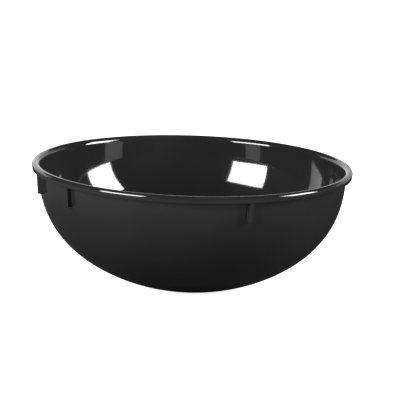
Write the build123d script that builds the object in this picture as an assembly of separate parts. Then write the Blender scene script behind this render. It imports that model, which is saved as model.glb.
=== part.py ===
from build123d import *
import math
import os

# Salon tint bowl: an injection-moulded bowl with a rolled rim and stacking
# lugs, and a soft non-slip ring pressed into a groove in its foot.
# Millimetres, +Z up. The origin is at the centre of the plane it stands on.

# ---- driving dimensions ----
RIM_R = 75.0            # outermost radius, on the rolled rim
HEIGHT = 57.6           # standing plane to the crest of the rim
WALL_T = 1.4            # wall thickness of the moulding
WALL_T_RIM = 1.1        # and where the wall meets the rim
WALL_TAPER = (25.0, 54.4)   # heights between which it thins
RIM_DROP = 3.2          # crest of the rim down to the edge of its skirt
RIM_EDGE_R = 0.35       # rounding of the skirt's free edge
FLARE_DEG = 4.5         # lean of the wall where it meets the rim
CREST_R_OUT = 1.5       # outer rounding of the crest
CREST_R_IN = 2.3        # inner rounding of the crest
SKIRT_IN_R = 73.8       # inner radius of the skirt
SKIRT_DRAFT = 0.15      # the skirt leans in by this much at its edge
ROLL_R = 0.75           # rounding of the hollow under the rim
ROLL_Z = 55.0           # height of that rounding's centre

FOOT_R = 21.2           # where the round wall runs out into the flat foot
FOOT_Z = 0.5            # plastic foot above the standing plane
FLOOR_Z = 3.4           # inside floor
FLOOR_R = 12.0          # flat middle of the inside floor
RECESS_R = 13.2         # shallow recess in the middle of the underside
RECESS_DEPTH = 1.2
RECESS_DRAFT = 0.5      # the recess is this much smaller at its roof

# outer wall below the roll: a quartic Bezier curve in (radius, height)
WALL_CTRL = [(FOOT_R, FOOT_Z), (33.32, 3.08), (70.71, 14.96), (71.24, 40.48)]
BLEND_R = 40.0          # the wall thickens into the floor inside this radius

# stacking lugs: (azimuth from the front, counted towards +X, in degrees)
LUG_AZ = [-71.5, -48.0, 20.5, 108.5, 132.0, 200.5]
LUG_T = 1.9             # thickness
LUG_DROP = 12.1         # crest of the rim down to a lug's square foot
LUG_R_TOP = 74.5        # outer edge of a lug at the skirt's edge
LUG_R_FOOT = 73.9       # and at its foot
LUG_EDGE_R = 0.3        # rounding of its two outer corners

# non-slip ring: a dovetail section that the groove holds
RING_R_IN = 15.4        # inner radius at the mouth of the groove
RING_R_OUT = 19.4       # outer radius there
RING_LOCK = 0.25        # the root is wider by this on each side
GROOVE_DEPTH = 1.5      # from the plastic foot up
RING_CLEAR = 0.02       # fitting clearance around the ring
RING_EDGE_R = 0.25      # rounding of the ring's two lower corners

os.makedirs("parts", exist_ok=True)


# ---- the rim, worked out from the wall ----
fl = math.radians(FLARE_DEG)
nx, nz = math.cos(fl), -math.sin(fl)      # outward normal of the wall there
roll_x = SKIRT_IN_R - ROLL_R              # centre of the hollow's rounding
top_out = (roll_x - nx * ROLL_R, ROLL_Z - nz * ROLL_R)
crest_x = RIM_R - CREST_R_OUT             # radius of the highest point
crest_out_z = HEIGHT - CREST_R_OUT
crest_in_z = HEIGHT - CREST_R_IN
top_in = (crest_x - nx * CREST_R_IN, crest_in_z - nz * CREST_R_IN)
CTRL = WALL_CTRL + [top_out]


def wall_point(t):
    """Point and unit direction of the outer wall curve at t."""
    pts = [tuple(p) for p in CTRL]
    while len(pts) > 2:
        pts = [((1 - t) * a[0] + t * b[0], (1 - t) * a[1] + t * b[1])
               for a, b in zip(pts[:-1], pts[1:])]
    (ax, az), (bx, bz) = pts
    x, z = (1 - t) * ax + t * bx, (1 - t) * az + t * bz
    length = math.hypot(bx - ax, bz - az)
    return x, z, (bx - ax) / length, (bz - az) / length


# inside of the wall: the outer curve moved in by the wall's thickness
inside = []
slope_at_blend = None
for i in range(0, 41):
    x, z, dx, dz = wall_point(i / 40)
    u = min(max((z - WALL_TAPER[0]) / (WALL_TAPER[1] - WALL_TAPER[0]), 0), 1)
    th = WALL_T + (WALL_T_RIM - WALL_T) * u
    px, pz = x - dz * th, z + dx * th
    if px >= BLEND_R:
        if slope_at_blend is None:
            slope_at_blend = dz / dx
        inside.append((px, pz))
bx0, bz0 = inside[0]
# floor to wall: a cubic that leaves the flat floor level and joins the wall
blend = []
for i in range(1, 6):
    u = i / 6
    h00, h10 = 2 * u**3 - 3 * u**2 + 1, u**3 - 2 * u**2 + u
    h01, h11 = -2 * u**3 + 3 * u**2, u**3 - u**2
    span = bx0 - FLOOR_R
    blend.append((FLOOR_R + u * span,
                  h00 * FLOOR_Z + h01 * bz0 + h11 * span * slope_at_blend))
inside_pts = [(FLOOR_R, FLOOR_Z)] + blend + inside[::2]
if inside_pts[-1] != inside[-1]:
    inside_pts.append(inside[-1])
inside_pts[-1] = top_in

# ---- bowl shell, turned section in the XZ plane ----
edge_z = HEIGHT - RIM_DROP
groove_z = FOOT_Z + GROOVE_DEPTH
recess_z = FOOT_Z + RECESS_DEPTH
with BuildSketch(Plane.XZ) as section:
    with BuildLine():
        Bezier(*CTRL)
        CenterArc((roll_x, ROLL_Z), ROLL_R, 0, 180 - FLARE_DEG)
        Polyline((SKIRT_IN_R, ROLL_Z), (SKIRT_IN_R, edge_z),
                 (RIM_R - SKIRT_DRAFT, edge_z), (RIM_R, crest_out_z))
        CenterArc((crest_x, crest_out_z), CREST_R_OUT, 0, 90)
        CenterArc((crest_x, crest_in_z), CREST_R_IN, 90, 90 - FLARE_DEG)
        Spline(*reversed(inside_pts), tangents=[(-math.sin(fl), -math.cos(fl)), (-1, 0)])
        Polyline((FLOOR_R, FLOOR_Z), (0, FLOOR_Z), (0, recess_z),
                 (RECESS_R - RECESS_DRAFT, recess_z), (RECESS_R, FOOT_Z),
                 (RING_R_IN, FOOT_Z), (RING_R_IN - RING_LOCK, groove_z),
                 (RING_R_OUT + RING_LOCK, groove_z), (RING_R_OUT, FOOT_Z),
                 (FOOT_R, FOOT_Z))
    make_face()
    edge_corners = [v for v in section.vertices()
                    if abs(v.Z - edge_z) < 1e-6 and v.X > 70]
    if len(edge_corners) != 2:
        edge_corners = [v for v in section.vertices()
                        if abs(v.Y - edge_z) < 1e-6 and v.X > 70]
    fillet(edge_corners, RIM_EDGE_R)
shell = revolve(section.sketch, Axis.Z, 360)

# ---- stacking lugs, part of the same moulding ----
lug_foot_z = HEIGHT - LUG_DROP
lug_top_z = HEIGHT - 1.4
lug_outline = Polyline((70.9, lug_foot_z), (LUG_R_FOOT, lug_foot_z),
                       (LUG_R_TOP, edge_z + 0.3), (74.0, lug_top_z),
                       (71.7, lug_top_z), close=True)
lug_face = make_face(Plane.XZ * lug_outline)
lug = extrude(lug_face, amount=LUG_T / 2, both=True)
outer_edges = [e for e in lug.edges()
               if e.center().X > 74.0 and abs(abs(e.center().Y) - LUG_T / 2) < 1e-6
               and e.length > 5]
lug = fillet(outer_edges, LUG_EDGE_R)
for az in LUG_AZ:
    shell = shell + Rot(0, 0, az - 90) * lug

bowl_shell = shell.solids()[0] if len(shell.solids()) == 1 else shell
bowl_shell.label = "bowl_shell"

# ---- non-slip ring ----
c = RING_CLEAR
with BuildSketch(Plane.XZ) as ring_section:
    with BuildLine():
        Polyline((RING_R_IN + c, 0), (RING_R_OUT - c, 0), (RING_R_OUT - c, FOOT_Z),
                 (RING_R_OUT + RING_LOCK - c, groove_z - c),
                 (RING_R_IN - RING_LOCK + c, groove_z - c), (RING_R_IN + c, FOOT_Z),
                 close=True)
    make_face()
    low = [v for v in ring_section.vertices() if abs(v.Z) < 1e-6]
    if len(low) != 2:
        low = [v for v in ring_section.vertices() if abs(v.Y) < 1e-6]
    fillet(low, RING_EDGE_R)
ring = revolve(ring_section.sketch, Axis.Z, 360)
non_slip_ring = ring.solids()[0]
non_slip_ring.label = "non_slip_ring"

for name, solid in (("bowl_shell", bowl_shell), ("non_slip_ring", non_slip_ring)):
    export_step(solid, f"parts/{name}.step")
    bb = solid.bounding_box()
    print(name, "solids", len(solid.solids()), "valid", solid.is_valid,
          "volume cm3 %.2f" % (solid.volume / 1000),
          "box", [round(v, 2) for v in (bb.min.X, bb.min.Y, bb.min.Z, bb.max.X, bb.max.Y, bb.max.Z)])
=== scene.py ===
import math

import bpy
import numpy as np
from mathutils import Matrix, Vector


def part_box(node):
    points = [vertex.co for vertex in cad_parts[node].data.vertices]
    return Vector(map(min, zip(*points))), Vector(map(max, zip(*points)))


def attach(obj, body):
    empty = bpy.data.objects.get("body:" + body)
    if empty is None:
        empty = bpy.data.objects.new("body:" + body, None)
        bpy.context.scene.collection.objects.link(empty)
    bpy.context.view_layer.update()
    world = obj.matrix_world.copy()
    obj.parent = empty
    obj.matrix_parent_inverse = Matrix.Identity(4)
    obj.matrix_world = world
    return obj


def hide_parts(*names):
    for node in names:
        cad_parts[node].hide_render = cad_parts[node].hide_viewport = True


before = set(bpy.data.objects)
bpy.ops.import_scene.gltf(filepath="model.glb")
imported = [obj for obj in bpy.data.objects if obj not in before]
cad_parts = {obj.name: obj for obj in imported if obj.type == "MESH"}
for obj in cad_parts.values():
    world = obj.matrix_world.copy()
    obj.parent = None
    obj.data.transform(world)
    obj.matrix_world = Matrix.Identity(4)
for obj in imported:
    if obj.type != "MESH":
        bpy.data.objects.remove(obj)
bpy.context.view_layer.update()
MM = 0.001

# ---------------------------------------------------------------- dimensions
# the same numbers as the CAD model, in millimetres; the box of bowl_shell checks the rim's radius and the height
RIM_R, HEIGHT, RIM_DROP = 75.0, 57.6, 3.2
WALL_T, WALL_T_RIM, TAPER = 1.4, 1.1, (25.0, 54.4)
CREST_OUT, CREST_IN = 1.5, 2.3
SKIRT_IN, SKIRT_DRAFT, ROLL_R, ROLL_Z = 73.8, 0.15, 0.75, 55.0
FLARE = math.radians(4.5)
FOOT_R, FOOT_Z, FLOOR_Z, FLOOR_R = 21.2, 0.5, 3.4, 12.0
RECESS_R, RECESS_DEPTH = 13.2, 1.2
BLEND_R = 40.0
LUG_AZ = [-71.5, -48.0, 20.5, 108.5, 132.0, 200.5]
LUG_T, LUG_DROP, LUG_R_TOP, LUG_R_FOOT = 1.9, 12.1, 74.5, 73.9
RING_IN, RING_OUT, RING_LOCK, GROOVE_DEPTH = 15.4, 19.4, 0.25, 1.5

lo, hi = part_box("bowl_shell")
assert abs(hi.x / MM - RIM_R) < 0.1 and abs(hi.z / MM - HEIGHT) < 0.1

nx, nz = math.cos(FLARE), -math.sin(FLARE)
ROLL_X = SKIRT_IN - ROLL_R
TOP_OUT = (ROLL_X - nx * ROLL_R, ROLL_Z - nz * ROLL_R)
CTRL = np.array([(FOOT_R, FOOT_Z), (33.32, 3.08), (70.71, 14.96), (71.24, 40.48), TOP_OUT])
CREST_X = RIM_R - CREST_OUT
SKIRT_EDGE = RIM_R - SKIRT_DRAFT
EDGE_Z = HEIGHT - RIM_DROP


def bezier(t):
    t = np.asarray(t, float)[:, None]
    b = [(1 - t) ** 4, 4 * t * (1 - t) ** 3, 6 * t**2 * (1 - t) ** 2, 4 * t**3 * (1 - t), t**4]
    p = sum(k * c for k, c in zip(b, CTRL))
    d = [(1 - t) ** 3, 3 * t * (1 - t) ** 2, 3 * t**2 * (1 - t), t**3]
    v = sum(k * c for k, c in zip(d, np.diff(CTRL, axis=0)))
    return p, v / np.hypot(v[:, 0], v[:, 1])[:, None]


def arc(cx, cz, r, a0, a1, n):
    a = np.radians(np.linspace(a0, a1, n))
    return np.c_[cx + r * np.cos(a), cz + r * np.sin(a)]


def straight(a, b, n):
    u = np.linspace(0, 1, n)[:, None]
    return np.array(a) * (1 - u) + np.array(b) * u


def corner(p, a, b, r, n=5):
    """Round the corner p between the directions of a and b with radius r."""
    p, a, b = (np.array(v, float) for v in (p, a, b))
    u, v = (a - p) / np.linalg.norm(a - p), (b - p) / np.linalg.norm(b - p)
    half = math.acos(max(-1, min(1, float(u @ v)))) / 2
    t = r / math.tan(half)
    s, e = p + u * t, p + v * t
    c = p + (u + v) / np.linalg.norm(u + v) * r / math.sin(half)
    a0, a1 = math.atan2(*(s - c)[::-1]), math.atan2(*(e - c)[::-1])
    d = (a1 - a0 + math.pi) % (2 * math.pi) - math.pi
    ang = a0 + np.linspace(0, 1, n) * d
    return np.c_[c[0] + r * np.cos(ang), c[1] + r * np.sin(ang)]


# ---- the section of the moulding, from the middle of the floor, up the inside,
# over the rim, and back down the outside to the middle of the underside ----
t_all = np.linspace(0, 1, 700)
P, T = bezier(t_all)
thick = WALL_T + (WALL_T_RIM - WALL_T) * np.clip((P[:, 1] - TAPER[0]) / (TAPER[1] - TAPER[0]), 0, 1)
inner = P + np.c_[-T[:, 1], T[:, 0]] * thick[:, None]
first = int(np.argmax(inner[:, 0] >= BLEND_R))
b0, sl = inner[first], T[first][1] / T[first][0]
u = np.linspace(0, 1, 26)
span = b0[0] - FLOOR_R
blend = np.c_[FLOOR_R + u * span,
              (2 * u**3 - 3 * u**2 + 1) * FLOOR_Z + (-2 * u**3 + 3 * u**2) * b0[1]
              + (u**3 - u**2) * span * sl]
crest_in = arc(CREST_X, HEIGHT - CREST_IN, CREST_IN, 180 - 4.5, 90, 26)
inner_wall = np.vstack([inner[first:-8], crest_in[:1]])


def thin(points, step):
    """Points of a smooth line, about step apart, ends kept."""
    s = np.r_[0, np.cumsum(np.hypot(*np.diff(points, axis=0).T))]
    n = max(2, int(round(s[-1] / step)) + 1)
    w = np.linspace(0, s[-1], n)
    return np.c_[np.interp(w, s, points[:, 0]), np.interp(w, s, points[:, 1])]


def join(*runs):
    out = [np.asarray(runs[0])]
    for r in runs[1:]:
        r = np.asarray(r)
        out.append(r[1:] if np.hypot(*(r[0] - out[-1][-1])) < 1e-4 else r)
    return np.vstack(out)


floor_run = straight((1.2, FLOOR_Z), (FLOOR_R, FLOOR_Z), 8)
inside = join(floor_run, thin(blend, 1.3), thin(inner_wall, 0.75))
crest = join(crest_in, arc(CREST_X, HEIGHT - CREST_OUT, CREST_OUT, 90, 0, 22))
edge_out = corner((SKIRT_EDGE, EDGE_Z), (RIM_R, HEIGHT - CREST_OUT), (SKIRT_IN, EDGE_Z), 0.35, 6)
edge_in = corner((SKIRT_IN, EDGE_Z), (SKIRT_EDGE, EDGE_Z), (SKIRT_IN, ROLL_Z), 0.35, 6)
skirt_out = join(crest, straight(crest[-1], edge_out[0], 4), edge_out)
# what follows is replaced by a lug's outline where there is a lug
roll_in = join([((SKIRT_EDGE + SKIRT_IN) / 2, EDGE_Z)], edge_in, [(SKIRT_IN, ROLL_Z - 0.1)],
               arc(ROLL_X, ROLL_Z, ROLL_R, 0, 180 - 4.5, 16))
outer_wall = P[::-1]
lug_z = HEIGHT - LUG_DROP
above = thin(outer_wall[outer_wall[:, 1] > lug_z], 0.6)
k0 = np.array([np.interp(lug_z, P[:, 1], P[:, 0]), lug_z])
lug_zone = join(roll_in, above, [k0])
below = thin(np.vstack([k0, outer_wall[outer_wall[:, 1] < lug_z]]), 0.8)
below = below[:-1]                       # the foot's corner is rounded instead
foot_edge = corner((FOOT_R, FOOT_Z), tuple(below[-1]), (FOOT_R - 1.2, FOOT_Z), 0.9, 5)
gate_r = 1.6
groove_z, recess_z = FOOT_Z + GROOVE_DEPTH, FOOT_Z + RECESS_DEPTH
under = join(
    foot_edge, straight((FOOT_R - 0.6, FOOT_Z), (RING_OUT + 0.15, FOOT_Z), 3),
    corner((RING_OUT, FOOT_Z), (RING_OUT + 1, FOOT_Z), (RING_OUT + RING_LOCK, groove_z), 0.12, 3),
    [(RING_OUT + RING_LOCK, groove_z), (RING_IN - RING_LOCK, groove_z)],
    corner((RING_IN, FOOT_Z), (RING_IN - RING_LOCK, groove_z), (RING_IN - 1, FOOT_Z), 0.12, 3),
    corner((RECESS_R, FOOT_Z), (RECESS_R + 1, FOOT_Z), (RECESS_R - 0.5, recess_z), 0.25, 4),
    corner((RECESS_R - 0.5, recess_z), (RECESS_R, FOOT_Z), (RECESS_R - 2, recess_z), 0.35, 4),
    straight((RECESS_R - 1.6, recess_z), (5.4, recess_z), 8),
    # a shallow ring round the gate, and the gate's vestige in the middle
    corner((5.2, recess_z), (6, recess_z), (5.0, recess_z + 0.25), 0.08, 3),
    straight((4.9, recess_z + 0.25), (gate_r + 0.5, recess_z + 0.25), 5),
    corner((gate_r, recess_z + 0.25), (gate_r + 0.4, recess_z + 0.25), (gate_r - 0.12, recess_z - 0.35), 0.12, 4),
    corner((gate_r - 0.12, recess_z - 0.35), (gate_r, recess_z), (gate_r - 1, recess_z - 0.35), 0.1, 4),
    [(0.7, recess_z - 0.35)])

# lug outline: from the roll's edge, down the lug's outer edge, in along its foot
n_zone = len(lug_zone)
lug_out = join([((SKIRT_EDGE + SKIRT_IN) / 2, EDGE_Z)],
               straight((LUG_R_TOP - 0.02, EDGE_Z), (LUG_R_FOOT + 0.02, lug_z + 0.3), 22),
               corner((LUG_R_FOOT, lug_z), (LUG_R_FOOT + 0.03, lug_z + 2), (LUG_R_FOOT - 1, lug_z), 0.25, 5),
               straight((LUG_R_FOOT - 0.3, lug_z), tuple(k0), 8))
# the same number of points on both, at matching shares of their length
# flat cover across the mouth of the roll, between the two
share_z = lug_zone.copy()
mouth = share_z[:, 1] > EDGE_Z
flatline = lug_zone.copy()
nub = (lug_zone[:, 1] > EDGE_Z - 1e-6)
flatline[nub, 1] = EDGE_Z
s_a = np.r_[0, np.cumsum(np.hypot(*np.diff(flatline, axis=0).T))]
s_a /= s_a[-1]
s_b = np.r_[0, np.cumsum(np.hypot(*np.diff(lug_out, axis=0).T))]
s_b /= s_b[-1]
# shares of the lug's outline, with its corner kept as real points
lug_line = np.c_[np.interp(s_a, s_b, lug_out[:, 0]), np.interp(s_a, s_b, lug_out[:, 1])]

head = join(inside, skirt_out)
tail = join(below, under)
n_head, n_tail = len(head), len(tail)
base_section = np.vstack([head, lug_zone, tail[1:]])
flat_section = np.vstack([head, flatline, tail[1:]])
lug_section = np.vstack([head, lug_line, tail[1:]])
n_sec = len(base_section)

# ---- columns round the bowl: even, with extra ones that shape each lug ----
half_deg = math.degrees(LUG_T / 2 / 73.0)
mm_deg = math.degrees(1 / 73.0)
lug_cols = []     # (degrees from the lug's middle, share of the way out)
ROOT, TIP = 0.30, 0.28
for k in range(5):                       # root fillet
    a = math.radians(90 * k / 4)
    lug_cols.append((half_deg + ROOT * mm_deg * (1 - math.sin(a)), 0.10 * (1 - math.cos(a))))
for k in range(5):                       # outer corner
    a = math.radians(90 * k / 4)
    lug_cols.append((half_deg - TIP * mm_deg * (1 - math.cos(a)), 1 - 0.09 * (1 - math.sin(a))))
side = [(d, w) for d, w in lug_cols]
cols = []
for az in LUG_AZ:
    for d, w in side:
        cols.append((az - d, w))
        cols.append((az + d, w))
    cols.append((az - half_deg * 0.25, 1.0))
    cols.append((az + half_deg * 0.25, 1.0))
    for d in (0.15, 0.35, 0.65):         # eased spacing beside the lug
        cols.append((az - half_deg - ROOT * mm_deg - d, 0.0))
        cols.append((az + half_deg + ROOT * mm_deg + d, 0.0))
near = half_deg + ROOT * mm_deg + 0.9
STEP = 1.0
for i in range(int(360 / STEP)):
    a = -180 + i * STEP
    if all(abs((a - az + 180) % 360 - 180) > near for az in LUG_AZ):
        cols.append((a, 0.0))
cols = [((a + 180) % 360 - 180, w) for a, w in cols]


# order by angle; where angles tie, the share of the way out decides, rising
# towards the lug's middle
def key(c):
    a, w = c
    best = min(LUG_AZ, key=lambda z: abs((a - z + 180) % 360 - 180))
    off = (a - best + 180) % 360 - 180
    return (round(a, 5), w if off < 0 else -w)


cols.sort(key=key)


def section_at(w):
    if w <= 0:
        return base_section
    if w < 0.1:
        f = w / 0.1
        return base_section * (1 - f) + (flat_section * 0.9 + lug_section * 0.1) * f
    return flat_section * (1 - w) + lug_section * w


def lathe(name, columns, sec_of, n, closed_poles=True):
    """A closed surface from one section per column; both ends run to the axis."""
    verts, faces = [], []
    for a, w in columns:
        s = sec_of(w)
        r = math.radians(a)
        verts.append(np.c_[s[:, 0] * math.sin(r), -s[:, 0] * math.cos(r), s[:, 1]])
    m = len(columns)
    verts = np.vstack(verts)
    for i in range(m):
        j = (i + 1) % m
        for k in range(n - 1):
            faces.append((i * n + k, j * n + k, j * n + k + 1, i * n + k + 1))
    z0, z1 = float(sec_of(0)[0][1]), float(sec_of(0)[-1][1])
    top, bot = len(verts), len(verts) + 1
    verts = np.vstack([verts, [(0, 0, z0), (0, 0, z1)]])
    for i in range(m):
        j = (i + 1) % m
        faces.append((top, j * n, i * n))
        faces.append((bot, i * n + n - 1, j * n + n - 1))
    return verts, faces


verts, faces = lathe("bowl", cols, section_at, n_sec)

# ---- what the mould and the cooling leave: the wall is very slightly out of
# round, and sinks a little where a lug backs it ----
x, y, z = verts.T
r = np.hypot(x, y)
az = np.degrees(np.arctan2(x, -y))
rise = np.clip((z - 8) / 45, 0, 1)
wave = (0.045 * np.sin(np.radians(2 * az + 40)) + 0.022 * np.sin(np.radians(3 * az - 75))
        + 0.010 * np.sin(np.radians(7 * az + 20)) * np.sin(z / 9.0)) * rise
sink = np.zeros_like(r)
wall_in = np.interp(np.clip(z, 5, 54.8), inner_wall[:, 1], inner_wall[:, 0])
on_inside = (np.abs(r - wall_in) < 0.5) & (z > 40) & (z < 57.7)
for a0 in LUG_AZ:
    d = ((az - a0 + 180) % 360 - 180) * 73 * math.pi / 180
    sink += np.where(on_inside, 0.035 * np.exp(-(d / 1.1) ** 2) * np.clip((z - 43) / 3, 0, 1), 0)
scale = 1 + np.where(r > 1, (wave + sink) / np.maximum(r, 1), 0)
verts = np.c_[x * scale, y * scale, z]
# the rim's own size stays exact
far = np.hypot(verts[:, 0], verts[:, 1])
over = np.maximum(far / RIM_R, 1)
verts[:, 0] /= over
verts[:, 1] /= over


def make(name, verts, faces, smooth_angle=38):
    me = bpy.data.meshes.new(name)
    me.from_pydata([tuple(v * MM) for v in verts], [], faces)
    me.validate()
    me.update()
    ob = bpy.data.objects.new(name, me)
    bpy.context.scene.collection.objects.link(ob)
    for p in me.polygons:
        p.use_smooth = True
    me.set_sharp_from_angle(angle=math.radians(smooth_angle))
    return ob


shell = make("bowl_moulding", verts, faces)
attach(shell, "root")
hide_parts("bowl_shell")

# ---- non-slip ring, with fine grip grooves on its underside ----
gz = groove_z - 0.02
c = 0.02
grooves = []
for g in (18.45, 17.4, 16.35):
    grooves += [(g + 0.24, 0.0), (g + 0.12, 0.20), (g, 0.26), (g - 0.12, 0.20), (g - 0.24, 0.0)]
ring_line = join(
    corner((RING_OUT - c, 0), (RING_OUT - c, FOOT_Z), (RING_OUT - 1, 0), 0.25, 5),
    grooves,
    corner((RING_IN + c, 0), (RING_IN + 1, 0), (RING_IN + c, FOOT_Z), 0.25, 5),
    [(RING_IN + c, FOOT_Z), (RING_IN - RING_LOCK + c, gz), (RING_OUT + RING_LOCK - c, gz), (RING_OUT - c, FOOT_Z)])
n = len(ring_line)
N = 240
rv, rf = [], []
for i in range(N):
    a = 2 * math.pi * i / N
    rv.append(np.c_[ring_line[:, 0] * math.sin(a), -ring_line[:, 0] * math.cos(a), ring_line[:, 1]])
rv = np.vstack(rv)
for i in range(N):
    j = (i + 1) % N
    for k in range(n):
        k2 = (k + 1) % n
        rf.append((i * n + k, i * n + k2, j * n + k2, j * n + k))
ring = make("non_slip_ring_soft", rv, rf, 50)
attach(ring, "root")
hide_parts("non_slip_ring")

# make every face look outward
import bmesh
for ob in (shell, ring):
    bm = bmesh.new()
    bm.from_mesh(ob.data)
    bmesh.ops.recalc_face_normals(bm, faces=bm.faces)
    bm.to_mesh(ob.data)
    bm.free()
    ob.data.update()


# ---------------------------------------------------------------- materials
def new_material(name):
    m = bpy.data.materials.new(name)
    m.use_nodes = True
    nt = m.node_tree
    bsdf = next(nd for nd in nt.nodes if nd.type == "BSDF_PRINCIPLED")
    return m, nt, bsdf


def node(nt, kind, **values):
    nd = nt.nodes.new(kind)
    for k, v in values.items():
        if k.startswith("_"):
            setattr(nd, k[1:], v)
        else:
            nd.inputs[k.replace("_", " ")].default_value = v
    return nd


def noise(nt, vec, scale, detail=2.0, rough=0.5):
    nd = node(nt, "ShaderNodeTexNoise", Scale=scale, Detail=detail, Roughness=rough)
    nt.links.new(vec, nd.inputs["Vector"])
    return nd.outputs[0]


def ranged(nt, value, a, b, lo_, hi_, smooth=False):
    nd = node(nt, "ShaderNodeMapRange", From_Min=a, From_Max=b, To_Min=lo_, To_Max=hi_)
    nd.clamp = True
    if smooth:
        nd.interpolation_type = "SMOOTHSTEP"
    nt.links.new(value, nd.inputs["Value"])
    return nd.outputs[0]


def maths(nt, op, a, b):
    nd = nt.nodes.new("ShaderNodeMath")
    nd.operation = op
    for k, v in enumerate((a, b)):
        if isinstance(v, (int, float)):
            nd.inputs[k].default_value = v
        else:
            nt.links.new(v, nd.inputs[k])
    return nd.outputs[0]


def blend_colour(nt, factor, a, b):
    nd = nt.nodes.new("ShaderNodeMix")
    nd.data_type = "RGBA"
    nt.links.new(factor, nd.inputs[0])
    for k, v in ((6, a), (7, b)):
        if isinstance(v, tuple):
            nd.inputs[k].default_value = v
        else:
            nt.links.new(v, nd.inputs[k])
    return nd.outputs[2]


def place(nt, scale=(1, 1, 1)):
    tc = nt.nodes.new("ShaderNodeTexCoord")
    mp = nt.nodes.new("ShaderNodeMapping")
    mp.inputs["Scale"].default_value = scale
    nt.links.new(tc.outputs["Object"], mp.inputs["Vector"])
    return mp.outputs["Vector"]


# glossy black moulded plastic: faint flow shading, a little dust, a polish that
# varies, and the slight unevenness a cooled moulding has
mat, nt, bsdf = new_material("black_plastic")
bsdf.inputs["IOR"].default_value = 1.5
vec = place(nt)
flow = noise(nt, place(nt, (1, 1, 0.35)), 34, 3.0, 0.55)
tone = blend_colour(nt, ranged(nt, flow, 0.3, 0.7, 0, 1, True),
                    (0.0104, 0.0104, 0.0108, 1), (0.0126, 0.0126, 0.0130, 1))
speck = ranged(nt, noise(nt, vec, 1500, 1.0, 0.4), 0.80, 0.84, 0, 1, True)
patchy = ranged(nt, noise(nt, vec, 45, 2.0), 0.45, 0.7, 0, 1, True)
dust = maths(nt, "MULTIPLY", speck, patchy)
tone = blend_colour(nt, maths(nt, "MULTIPLY", dust, 0.5), tone, (0.06, 0.06, 0.058, 1))
nt.links.new(tone, bsdf.inputs["Base Color"])
polish = ranged(nt, noise(nt, vec, 28, 4.0, 0.6), 0.3, 0.72, 0.042, 0.074, True)
hair = ranged(nt, noise(nt, place(nt, (1, 1, 14)), 190, 2.0, 0.5), 0.66, 0.74, 0, 0.025, True)
rough = maths(nt, "ADD", maths(nt, "ADD", polish, hair), maths(nt, "MULTIPLY", dust, 0.25))
nt.links.new(rough, bsdf.inputs["Roughness"])
uneven = maths(nt, "ADD", noise(nt, vec, 150, 2.0, 0.45), maths(nt, "MULTIPLY", noise(nt, vec, 46, 1.0), 0.9))
bump = node(nt, "ShaderNodeBump", Strength=1.0, Distance=0.000008)
nt.links.new(uneven, bump.inputs["Height"])
nt.links.new(bump.outputs["Normal"], bsdf.inputs["Normal"])
shell.data.materials.append(mat)

# soft matte elastomer with a fine grain
mat2, nt2, bsdf2 = new_material("black_tpe")
vec2 = place(nt2)
grain = noise(nt2, vec2, 2600, 3.0, 0.6)
nt2.links.new(blend_colour(nt2, noise(nt2, vec2, 120, 3.0, 0.6), (0.016, 0.016, 0.017, 1),
                           (0.026, 0.026, 0.026, 1)), bsdf2.inputs["Base Color"])
nt2.links.new(ranged(nt2, grain, 0.3, 0.7, 0.56, 0.70), bsdf2.inputs["Roughness"])
bump2 = node(nt2, "ShaderNodeBump", Strength=1.0, Distance=0.00004)
nt2.links.new(grain, bump2.inputs["Height"])
nt2.links.new(bump2.outputs["Normal"], bsdf2.inputs["Normal"])
ring.data.materials.append(mat2)

# ---------------------------------------------------------------- stage
scene = bpy.context.scene
scene.view_settings.view_transform = "Standard"
scene.view_settings.look = "None"

def plane(name, size):
    me = bpy.data.meshes.new(name)
    h = size / 2
    me.from_pydata([(-h, -h, 0), (h, -h, 0), (h, h, 0), (-h, h, 0)], [], [(0, 1, 2, 3)])
    me.update()
    ob = bpy.data.objects.new(name, me)
    scene.collection.objects.link(ob)
    return ob


# the floor is pale paper, lit from behind a little, so that it stays white in
# front of the camera; its twin, which the bowl sees in reflection and stands in, has painted shadow and painted light
# in its colour
floor = plane("floor", 12)
fm, fnt, fb = new_material("floor_paper")
fb.inputs["Base Color"].default_value = (0.82, 0.82, 0.82, 1)
fb.inputs["Roughness"].default_value = 0.9
fb.inputs["Specular IOR Level"].default_value = 0.1
fb.inputs["Emission Color"].default_value = (1, 1, 1, 1)
fb.inputs["Emission Strength"].default_value = 0.82
floor.data.materials.append(fm)
floor.visible_glossy = False
floor.visible_diffuse = False
floor.visible_shadow = False
under = plane("floor_below", 12)
under.location.z = -0.0002
um, unt, ub = new_material("floor_painted_shadow")
# painted shadow and painted light in the colour: paler in front and to the left, towards the lamps; dark close to the
# foot and behind to the right, where the bowl's shadow falls; pale again far off, more so on the left
tc = unt.nodes.new("ShaderNodeTexCoord")
sep = unt.nodes.new("ShaderNodeSeparateXYZ")
unt.links.new(tc.outputs["Object"], sep.inputs[0])
fx, fy = sep.outputs[0], sep.outputs[1]
radius = maths(unt, "SQRT", maths(unt, "ADD", maths(unt, "MULTIPLY", fx, fx), maths(unt, "MULTIPLY", fy, fy)), 0.0)
front = maths(unt, "ADD", maths(unt, "MULTIPLY", fx, -0.55), maths(unt, "MULTIPLY", fy, -0.835))
# painted light and painted shadow: the lit share near the bowl, and the lit floor far off
painted_light_near = maths(unt, "MULTIPLY", ranged(unt, front, -0.12, 0.14, 0, 1, True), ranged(unt, radius, 0.02, 0.19, 0, 1))
painted_light_far = maths(unt, "MULTIPLY", ranged(unt, radius, 0.24, 0.42, 0, 1, True), ranged(unt, fx, -0.25, 0.25, 0.16, 0.07, True))
shade = maths(unt, "ADD", maths(unt, "MAXIMUM", maths(unt, "MULTIPLY", painted_light_near, 0.19), painted_light_far), 0.012)
unt.links.new(shade, ub.inputs["Base Color"])
ub.inputs["Roughness"].default_value = 0.9
ub.inputs["Specular IOR Level"].default_value = 0.1
under.data.materials.append(um)
under.visible_camera = False

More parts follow.
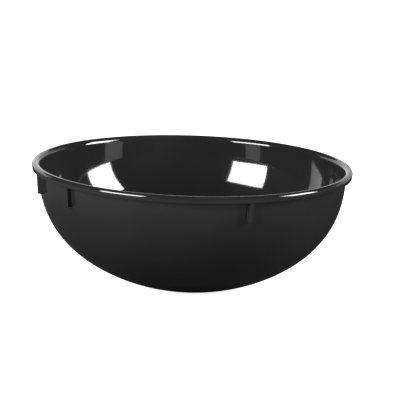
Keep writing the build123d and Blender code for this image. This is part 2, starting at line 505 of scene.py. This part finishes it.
world = bpy.data.worlds.new("studio")
scene.world = world
world.use_nodes = True
wn = world.node_tree
bg = next(nd for nd in wn.nodes if nd.type == "BACKGROUND")
bg.inputs["Color"].default_value = (1, 1, 1, 1)
bg.inputs["Strength"].default_value = 0.045


def direction(azimuth, elevation):
    a, e = math.radians(azimuth), math.radians(elevation)
    return Vector((math.sin(a) * math.cos(e), -math.cos(a) * math.cos(e), math.sin(e)))


def softbox(name, az0, az1, el0, el1, distance, radiance, seen_from, roll=0.0):
    """A soft box that spans the given directions, seen from a point inside the bowl."""
    azimuth, elevation = (az0 + az1) / 2, (el0 + el1) / 2
    width = 2 * distance * math.tan(math.radians(abs(az1 - az0) / 2)) * math.cos(math.radians(elevation))
    height = 2 * distance * math.tan(math.radians((el1 - el0) / 2))
    data = bpy.data.lights.new(name, "AREA")
    data.shape = "RECTANGLE"
    data.size, data.size_y = width, height
    data.energy = radiance * math.pi * width * height
    ob = bpy.data.objects.new(name, data)
    ob.location = Vector(seen_from) * MM + direction(azimuth, elevation) * distance
    ob.rotation_mode = "QUATERNION"
    q = (-direction(azimuth, elevation)).to_track_quat("-Z", "Y")
    ob.rotation_quaternion = Matrix.Rotation(math.radians(roll), 4, direction(azimuth, elevation)).to_quaternion() @ q
    ob.visible_camera = False
    scene.collection.objects.link(ob)
    return ob


# a pale backdrop behind the bowl, past the edge of the picture; it glows brighter on the left than on the right:
# painted light, seen only in the bowl's reflections
back_me = bpy.data.meshes.new("backdrop")
pts = []
for k in range(25):
    a = math.radians(180 - 60 + 120 * k / 24)
    for h in (0.0, 0.75):
        pts.append((1.6 * math.sin(a), -1.6 * math.cos(a), h))
back_me.from_pydata(pts, [], [(2 * k, 2 * k + 2, 2 * k + 3, 2 * k + 1) for k in range(24)])
back_me.update()
backdrop = bpy.data.objects.new("backdrop", back_me)
scene.collection.objects.link(backdrop)
bm_, bnt, bb = new_material("backdrop_painted_glow")
bb.inputs["Base Color"].default_value = (0.6, 0.6, 0.6, 1)
bb.inputs["Roughness"].default_value = 0.9
bb.inputs["Specular IOR Level"].default_value = 0.1
bb.inputs["Emission Color"].default_value = (1, 1, 1, 1)
btc = bnt.nodes.new("ShaderNodeTexCoord")
bsep = bnt.nodes.new("ShaderNodeSeparateXYZ")
bnt.links.new(btc.outputs["Object"], bsep.inputs[0])
# painted light: the backdrop's glow fades from left to right
bnt.links.new(ranged(bnt, bsep.outputs[0], -0.14, 0.26, 0.85, 0.33, True), bb.inputs["Emission Strength"])
backdrop.data.materials.append(bm_)
backdrop.visible_camera = False
backdrop.visible_diffuse = False

softbox("softbox_right", 69, 93.6, 4, 36, 1.2, 27, (-45, 50, 40))
softbox("softbox_left_front", -63.5, -32.8, 7.1, 30.8, 1.2, 27, (28, 61, 40), roll=2.5)

# ---------------------------------------------------------------- camera
CAM_E, CAM_ROLL, DIST = math.radians(11.12), math.radians(1.95), 0.750
rim_mid = Vector((0, 0, HEIGHT * MM))
cam_pos = rim_mid + Vector((0, -DIST * math.cos(CAM_E), DIST * math.sin(CAM_E)))
aim = rim_mid + Vector((4.05 * MM, 0, -17.7 * MM))
fwd = (aim - cam_pos).normalized()
right0 = fwd.cross(Vector((0, 0, 1))).normalized()
up0 = right0.cross(fwd)
right = right0 * math.cos(CAM_ROLL) + up0 * math.sin(CAM_ROLL)
up = up0 * math.cos(CAM_ROLL) - right0 * math.sin(CAM_ROLL)
cd = bpy.data.cameras.new("camera")
cd.lens, cd.sensor_width = 143.82, 36
cd.clip_start, cd.clip_end = 0.02, 50
cam = bpy.data.objects.new("camera", cd)
cam.matrix_world = Matrix(((right.x, up.x, -fwd.x, cam_pos.x),
                           (right.y, up.y, -fwd.y, cam_pos.y),
                           (right.z, up.z, -fwd.z, cam_pos.z),
                           (0, 0, 0, 1)))
scene.collection.objects.link(cam)
scene.camera = cam
